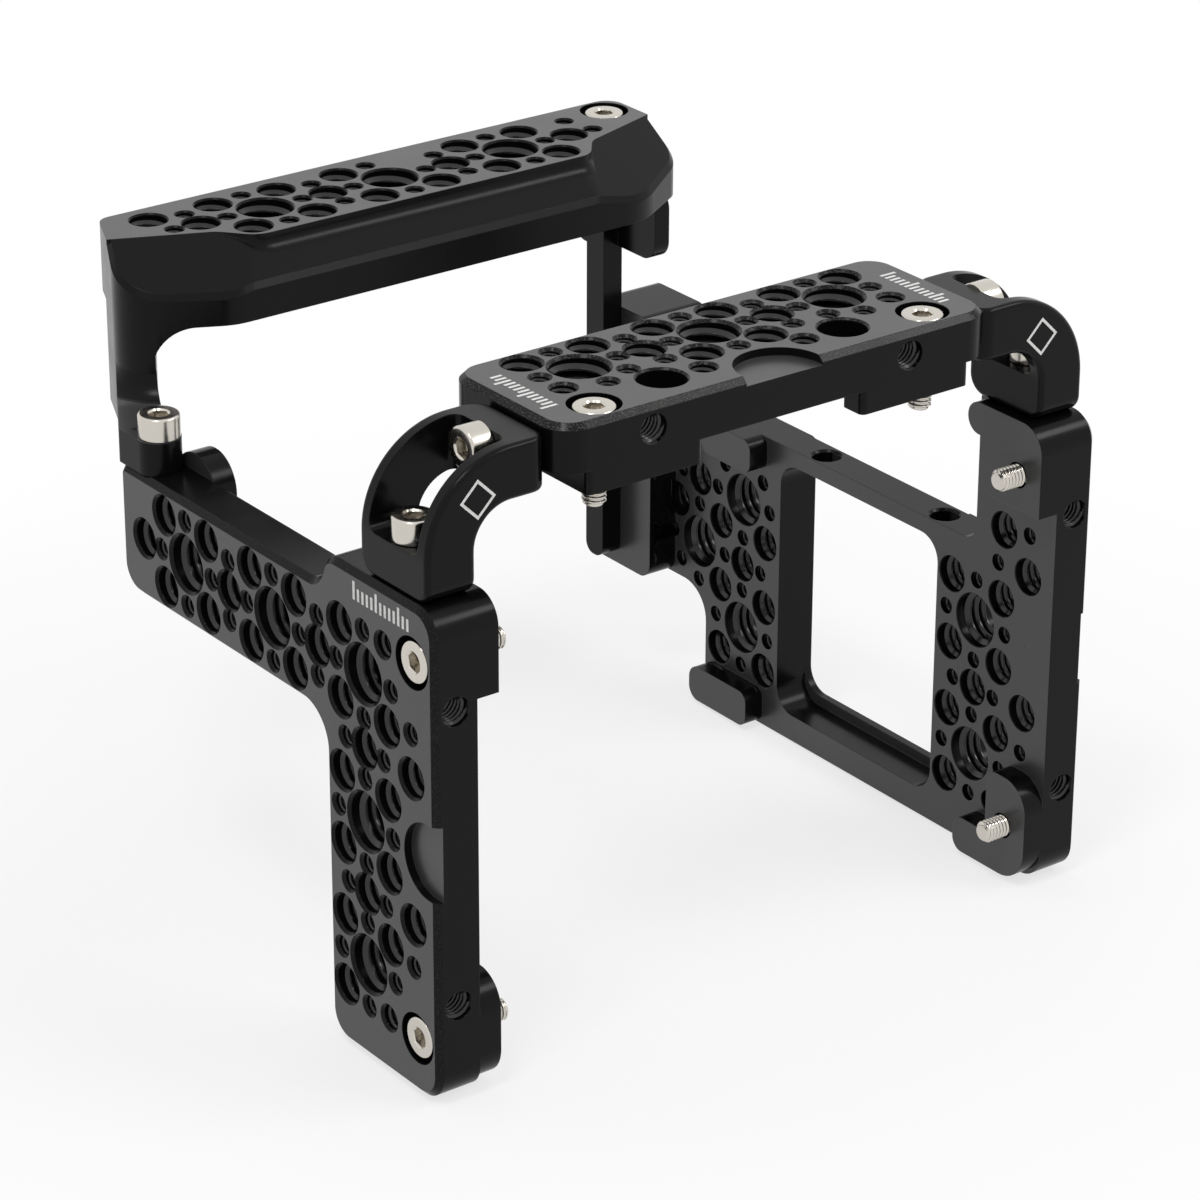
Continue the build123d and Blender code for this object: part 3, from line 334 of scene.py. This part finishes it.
def rightHoles():
    front = [(column, middle), (column, middle - pitch)]
    medium, small = frontColumn(front)
    medium = without(medium, (column, middle + half)) + [(column - quarter, middle + pitch - quarter)]
    small = without(small, (column + beside, middle + half))
    rearY = column + 2.5 * pitch
    rear = [(rearY, middle), (rearY, middle - pitch)]
    offset = (rearY + half, middle - half)
    medium += around([rear[1]], quarter) + [(rearY + s * quarter, middle - quarter) for s in (-1, 1)]
    medium += [(rearY, middle - half), (rearY + half, middle)]
    medium += [(offset[0] + quarter, offset[1] + quarter)]
    rings = across(rear, ring) + across([offset], ring)
    small += [p for p in rings if p[1] < middle + ring]
    small += [(rearY - beside, middle - half), (rearY + half + beside, middle)]
    small += [(rearY + s * rearBeside, middle + beside) for s in (-1, 1)]
    small += [(offset[0] + beside, offset[1] - beside)]
    return {"large": front + rear + [offset], "medium": medium, "small": small,
            "tap": [(tapIn, z) for z in screwRows]}


def topHoles():
    large = [(i * pitch, column) for i in (-1, 0, 1)]
    mids = [(s * half, column) for s in (-1, 1)]
    medium = [(x + s * quarter, column + quarter) for x, _ in large for s in (-1, 1)]
    medium += mids + [(s * quarter, column - quarter) for s in (-1, 1)]
    small = across(large, ring) + [(x, y + s * beside) for x, y in mids for s in (-1, 1)]
    small += [(s * cornerHole[0], cornerHole[1]) for s in (-1, 1)]
    taps = [(s * x, y) for x, y in ((topTapX, tapIn), middleTap) for s in (-1, 1)]
    return {"large": large, "medium": medium, "small": small, "tap": taps}


def barHoles():
    large = [(i * pitch, 0) for i in (-1, 0, 1)]
    medium = without(around(large, quarter), (quarter, quarter)) + [(-pitch - 3 * quarter, quarter)]
    medium += [((i + 0.5) * pitch, 0) for i in (-2, -1, 0, 1)]
    small = across(large, ring) + [(s * (pitch * 1.5 + beside), 0) for s in (-1, 1)]
    small += [((i + 0.5) * pitch, beside) for i in (-2, -1, 0)]
    small += [((i + 0.5) * pitch, -beside) for i in (-1, 0)]
    small += [(pitch * 1.5 + lastHoleOut, quarter)]
    return {"large": large, "medium": medium, "small": small}


def addThread(points, faces, kind, mouth, inward, depth):
    # helical ridge of one hole, from its mouth along inward
    major, minor, step, count = threads[kind]
    crest = threadLook["crestShare"] * step / 2
    root = major / 2 + threadLook["sinkMm"]
    foot = threadLook["rootShare"] * step
    profile = ((root, -foot), (minor / 2, -crest), (minor / 2, crest), (root, foot))
    side = inward.orthogonal().normalized()
    other = inward.cross(side)
    start = threadLook["mouthMm"] + step / 2
    stop = depth - threadLook["mouthMm"] - step / 2
    total = int((stop - start) / step * count)
    base = len(points)
    for i in range(total + 1):
        angle = 2 * math.pi * i / count
        away = side * math.cos(angle) + other * math.sin(angle)
        fade = min(1.0, min(i, total - i) / threadLook["fadeSteps"])     # it runs out at both ends
        for r, shift in profile:
            reach = root + (r - root) * fade
            points.append(mouth + away * reach + inward * (start + step * i / count + shift))
    for i in range(total):
        for j in range(3):
            a = base + i * 4 + j
            faces.append((a, a + 1, a + 5, a + 4))


def threadPieces(name, holes, toPlace, inward, depth):
    for kind, spots in holes.items():
        points, faces = [], []
        for u, v in spots:
            addThread(points, faces, kind, toPlace(u, v), inward, depth)
        piece = meshPiece(f"{name}_{kind}_threads", points, faces, threadBlack, 40)
        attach(piece, "cage")


right, back, up = Vector((1, 0, 0)), Vector((0, 1, 0)), Vector((0, 0, 1))
threadPieces("left_side_plate", leftHoles(), lambda y, z: Vector((-outer, front + y, z)), right, plateThick)
threadPieces("right_side_plate", rightHoles(), lambda y, z: Vector((outer, front + y, z)), -right,
             plateThick)
threadPieces("top_plate", topHoles(), lambda x, y: Vector((x, front + y, topZ)), -up, plateThick)
threadPieces("rear_bar", barHoles(), lambda x, y: Vector((x, barRow + y, topZ)), -up, barThick)


def edgeThreads():
    # tapped holes in the front edges
    spots = [(s * (outer - plateThick / 2), middle + t * pitch) for s in (-1, 1) for t in (-1, 1)]
    spots += [(s * pitch, topZ - plateThick / 2) for s in (-1, 1)]
    threadPieces("front_edges", {"edge": spots}, lambda x, z: Vector((x, front, z)), back, edgeDeep)


edgeThreads()
print("threads cut")


screwLook = {
    "M4": {"head": 7.0, "high": 4.0, "flats": 3.0, "deep": 2.0, "shank": 3.9, "core": 3.2, "pitch": 0.7},
    "M3": {"head": 5.5, "high": 3.0, "flats": 2.5, "deep": 1.6, "shank": 2.9, "core": 2.4, "pitch": 0.5},
    "rim": 0.45,                   # round at the head's rim
    "rimSteps": 6,
    "segments": 48,
    "threaded": 7.0,               # length of thread from the tip
    "rowsPerTurn": 6,
    "socketCone": 0.35,            # drill point under the socket
    "mouthDeep": 0.30,             # countersink at the socket's mouth
    "mouthWide": 0.12,
    "underChamfer": 0.15,          # under the head
    "shankSlack": 0.05,            # plain shank below the thread's diameter
    "crestGain": 1.25,             # over 1 flattens the crests
    "tipTaper": 0.28,              # share lost over the last tipLong
    "tipLong": 0.6,
    "centre": 0.02,                # closes the ends
    "lip": 0.02,                   # mouth's edge below the crown
}


def hexRadius(angle, flats):
    # distance to a hexagon's side
    turn = math.radians(60)
    return flats / 2 / math.cos((angle + turn / 2) % turn - turn / 2)


def screwRings(size, length):
    # rings from the socket's floor over the rim and down to the tip: (radius at angle, z)
    head, high, flats, deep = size["head"] / 2, size["high"], size["flats"], size["deep"]
    rim, steps, centre = screwLook["rim"], screwLook["rimSteps"], screwLook["centre"]
    mouth = flats / 2 / math.cos(math.radians(30)) + screwLook["mouthWide"]
    rings = [(lambda a: centre, -deep - screwLook["socketCone"]), (lambda a: hexRadius(a, flats), -deep),
             (lambda a: hexRadius(a, flats), -screwLook["mouthDeep"]), (lambda a: mouth, -screwLook["lip"]),
             (lambda a: head - rim, 0.0)]
    for i in range(1, steps + 1):
        turn = math.radians(90 * i / steps)
        rings.append((lambda a, t=turn: head - rim + rim * math.sin(t), -rim + rim * math.cos(turn)))
    under = screwLook["underChamfer"]
    rings += [(lambda a: head, -high + under), (lambda a: head - under, -high)]
    shank, core, step = size["shank"] / 2, size["core"] / 2, size["pitch"]
    start = max(high, length - screwLook["threaded"])
    plain = shank - screwLook["shankSlack"]
    rings += [(lambda a: plain, -high), (lambda a: plain, -start)]
    rows = int((length - start) / step * screwLook["rowsPerTurn"])
    taper, gain = screwLook["tipTaper"], screwLook["crestGain"]
    for i in range(1, rows + 1):
        z = start + (length - start) * i / rows
        tip = min(1.0, 1 - taper + taper * (length - z) / screwLook["tipLong"])

        def wave(a, z=z, tip=tip):
            phase = (z / step - a / (2 * math.pi)) % 1
            return (core + (shank - core) * min(1.0, gain * (1 - abs(2 * phase - 1)))) * tip
        rings.append((wave, -z))
    rings.append((lambda a: centre, -length))
    return rings


uprightScrews = ("left_bracket_lower_screw", "right_bracket_lower_screw", "rear_arm_screw")
smallScrews = ("rear_post_lower_screw", "rear_post_upper_screw")


def headward(name):
    # direction from a screw's tip to its head
    if "top" in name or name in uprightScrews:
        return up
    return -right if name.startswith("left") else right


def softenThread(mesh, crown, axis, size, length):
    # the thread's ridges are shaded smooth, the head and the tip keep their sharp edges
    sharp = mesh.attributes["sharp_edge"].data
    for edge in mesh.edges:
        depths = [(crown * mm - mesh.vertices[v].co).dot(axis) / mm for v in edge.vertices]
        if min(depths) > size["high"] + 0.1 and max(depths) < length - 0.02:
            sharp[edge.index].value = False


def capScrew(name):
    low, high = (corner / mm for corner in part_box(name))
    axis = headward(name)
    centre = (low + high) / 2
    length = abs((high - low).dot(axis))
    crown = centre + axis * length / 2
    size = screwLook["M3" if name in smallScrews else "M4"]
    side = axis.orthogonal().normalized()
    other = axis.cross(side)
    count = screwLook["segments"]
    points, faces = [], []
    rings = screwRings(size, length)
    for radius, z in rings:
        for i in range(count):
            angle = 2 * math.pi * i / count
            away = side * math.cos(angle) + other * math.sin(angle)
            points.append(crown + away * radius(angle) + axis * z)
    for i in range(len(rings) - 1):
        for j in range(count):
            a, b = i * count + j, i * count + (j + 1) % count
            faces.append((a, a + count, b + count, b))
    piece = meshPiece(name.replace("screw", "cap_screw"), points, faces, stainless, 25)
    softenThread(piece.data, crown, axis, size, length)
    body = name.replace("_screw", "") if "camera" in name else "cage"
    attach(piece, body)
    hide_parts(name)


for name in nodes:
    if name.endswith("screw"):
        capScrew(name)

print("screws made")


markLook = {"tickWide": 0.62, "tickStep": 1.2, "tall": 3.1, "short": 2.1, "lift": 0.03,
            "ringOut": 3.3, "ringIn": 2.65, "ticks": 13,
            "leftPlate": (21.4, 79.7),         # starts of the rows: from the front plane and up,
            "topLeft": (-37.2, 8.4),           # or from the middle and from the front plane
            "topRight": (37.2, 21.9),
            "bracket": (56.0, 99.9)}           # centre of each square, from the middle and up


def tickRow(name, start, along, tickward):
    # scale of ticks, each fifth one taller
    points, faces = [], []
    lift = along.cross(tickward).normalized() * markLook["lift"]
    for i in range(markLook["ticks"]):
        high = markLook["tall"] if i % 5 == 0 else markLook["short"]
        foot = start + along * markLook["tickStep"] * i + lift
        wide = along * markLook["tickWide"]
        base = len(points)
        points += [foot, foot + wide, foot + wide + tickward * high, foot + tickward * high]
        faces.append((base, base + 1, base + 2, base + 3))
    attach(meshPiece(name, points, faces, printWhite), "cage")


def squareMark(name, centre):
    # square ring on its corner, on the front of a bracket
    points, faces = [], []
    for size in (markLook["ringOut"], markLook["ringIn"]):
        for i in range(4):
            angle = math.pi / 2 * i
            points.append(centre + Vector((math.cos(angle), 0, math.sin(angle))) * size)
    for i in range(4):
        j = (i + 1) % 4
        faces.append((i, j, j + 4, i + 4))
    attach(meshPiece(name, points, faces, printWhite), "cage")


y, z = markLook["leftPlate"]
tickRow("left_plate_scale", Vector((-outer, front + y, z)), -back, up)
for name, key, along, tickward in (("top_left_scale", "topLeft", back, -right),
                                   ("top_right_scale", "topRight", -back, right)):
    x, y = markLook[key]
    tickRow(name, Vector((x, front + y, topZ)), along, tickward)
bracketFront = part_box("left_corner_bracket")[0].y / mm
x, z = markLook["bracket"]
for side, name in ((-1, "left_bracket_mark"), (1, "right_bracket_mark")):
    squareMark(name, Vector((side * x, bracketFront - markLook["lift"], z)))

print("marks printed")


cameraLook = {
    "place": (-416.15, -568.66, 372.61),
    "azimuth": -36.80,
    "elevation": 24.80,
    "roll": -0.21,
    "focalPixels": 4585,
    "imagePixels": 1200,
}


def aimCamera():
    azimuth, elevation, roll = (math.radians(cameraLook[key]) for key in ("azimuth", "elevation", "roll"))
    data = bpy.data.cameras.new("camera")
    data.sensor_width = 36.0
    data.lens = cameraLook["focalPixels"] * data.sensor_width / cameraLook["imagePixels"]
    data.clip_start = 0.01
    data.clip_end = 20
    camera = bpy.data.objects.new("camera", data)
    bpy.context.scene.collection.objects.link(camera)
    behind = Vector((math.sin(azimuth) * math.cos(elevation),
                     -math.cos(azimuth) * math.cos(elevation), math.sin(elevation)))
    level = Vector((math.cos(azimuth), math.sin(azimuth), 0))
    turned = level * math.cos(roll) - behind.cross(level) * math.sin(roll)
    place = Vector(cameraLook["place"]) * mm
    axes = Matrix((turned, behind.cross(turned), behind)).transposed().to_4x4()
    camera.matrix_world = Matrix.Translation(place) @ axes
    bpy.context.scene.camera = camera


roomLook = {
    "fill": 0.40,                  # light from all round
    "floorNear": 0.72,             # least share of pure white on the floor near the object
    "floorPaint": "#f7f7f7",
    "nearMm": 80,                  # from the middle: floorNear up to here,
    "farMm": 220,                  # pure white from here
    "floorDrop": 0.5,
    "floorHalf": 3000,
    "lamps": {
        # place and target in metres, size, watts, and whether metal mirrors it
        "overhead_softbox": ((0.0, 0.1, 1.2), (0, 0, 0), (1.2, 1.2), 3.8, False),
        "left_spot": ((-0.50, -0.26, 1.14), (0, 0, 0.06), (0.26, 0.26), 3.2, True),
        "right_strip": ((0.65, -0.62, 0.86), (0, 0, 0.06), (0.7, 0.28), 4.0, True),
    },
}


def backgroundRays(tree):
    # 1 for the camera, for mirrors and through glass, which all see the same white
    path = addNode(tree, "ShaderNodeLightPath")
    direct = addNode(tree, "ShaderNodeMath", {"operation": "MAXIMUM"},
                     {0: path.outputs["Is Camera Ray"], 1: path.outputs["Is Glossy Ray"]})
    return addNode(tree, "ShaderNodeMath", {"operation": "MAXIMUM"},
                   {0: direct, 1: path.outputs["Is Transmission Ray"]})


def whiteRoom():
    # pure white as background and in reflections, an even lower level as light
    world = bpy.data.worlds.new("studio")
    bpy.context.scene.world = world
    world.use_nodes = True
    tree = world.node_tree
    tree.nodes.clear()
    strength = addNode(tree, "ShaderNodeMix", {"data_type": "FLOAT", 2: roomLook["fill"], 3: 1.0},
                       {0: backgroundRays(tree)})
    light = addNode(tree, "ShaderNodeBackground", {"Color": srgb("#ffffff")}, {"Strength": strength})
    addNode(tree, "ShaderNodeOutputWorld", None, {"Surface": light})


def softLamp(name, place, target, size, watts, mirrored):
    data = bpy.data.lights.new(name, "AREA")
    data.shape = "RECTANGLE"
    data.size, data.size_y = size
    data.energy = watts
    lamp = bpy.data.objects.new(name, data)
    bpy.context.scene.collection.objects.link(lamp)
    lamp.location = place
    lamp.rotation_euler = (Vector(target) - Vector(place)).to_track_quat("-Z", "Y").to_euler()
    lamp.visible_glossy = mirrored


def paleFloor():
    # white paper: soft shadow near the object, pure white further out
    wide, low = roomLook["floorHalf"], -roomLook["floorDrop"]
    corners = [(-wide, -wide, low), (wide, -wide, low), (wide, wide, low), (-wide, wide, low)]
    material, tree = newMaterial("pale_floor")
    floor = meshPiece("floor", corners, [(0, 1, 2, 3)], material)
    place = addNode(tree, "ShaderNodeTexCoord").outputs["Object"]
    away = addNode(tree, "ShaderNodeVectorMath", {"operation": "LENGTH"}, {0: place})
    white = addNode(tree, "ShaderNodeMapRange",
                    {"interpolation_type": "SMOOTHSTEP", "From Min": roomLook["nearMm"] * mm,
                     "From Max": roomLook["farMm"] * mm, "To Min": roomLook["floorNear"]},
                    {"Value": away.outputs["Value"]})
    paint = addNode(tree, "ShaderNodeBsdfDiffuse", {"Color": srgb(roomLook["floorPaint"])})
    glow = addNode(tree, "ShaderNodeEmission", {"Color": srgb("#ffffff"), "Strength": 1.0})
    share = addNode(tree, "ShaderNodeMath", {"operation": "MULTIPLY"}, {0: backgroundRays(tree), 1: white})
    sheet = addNode(tree, "ShaderNodeMixShader", None, {0: share, 1: paint, 2: glow})
    addNode(tree, "ShaderNodeOutputMaterial", None, {"Surface": sheet})


aimCamera()
whiteRoom()
paleFloor()
for name, (place, target, size, watts, mirrored) in roomLook["lamps"].items():
    softLamp(name, place, target, size, watts, mirrored)
bpy.context.scene.view_settings.view_transform = "Standard"

print("camera and light set")
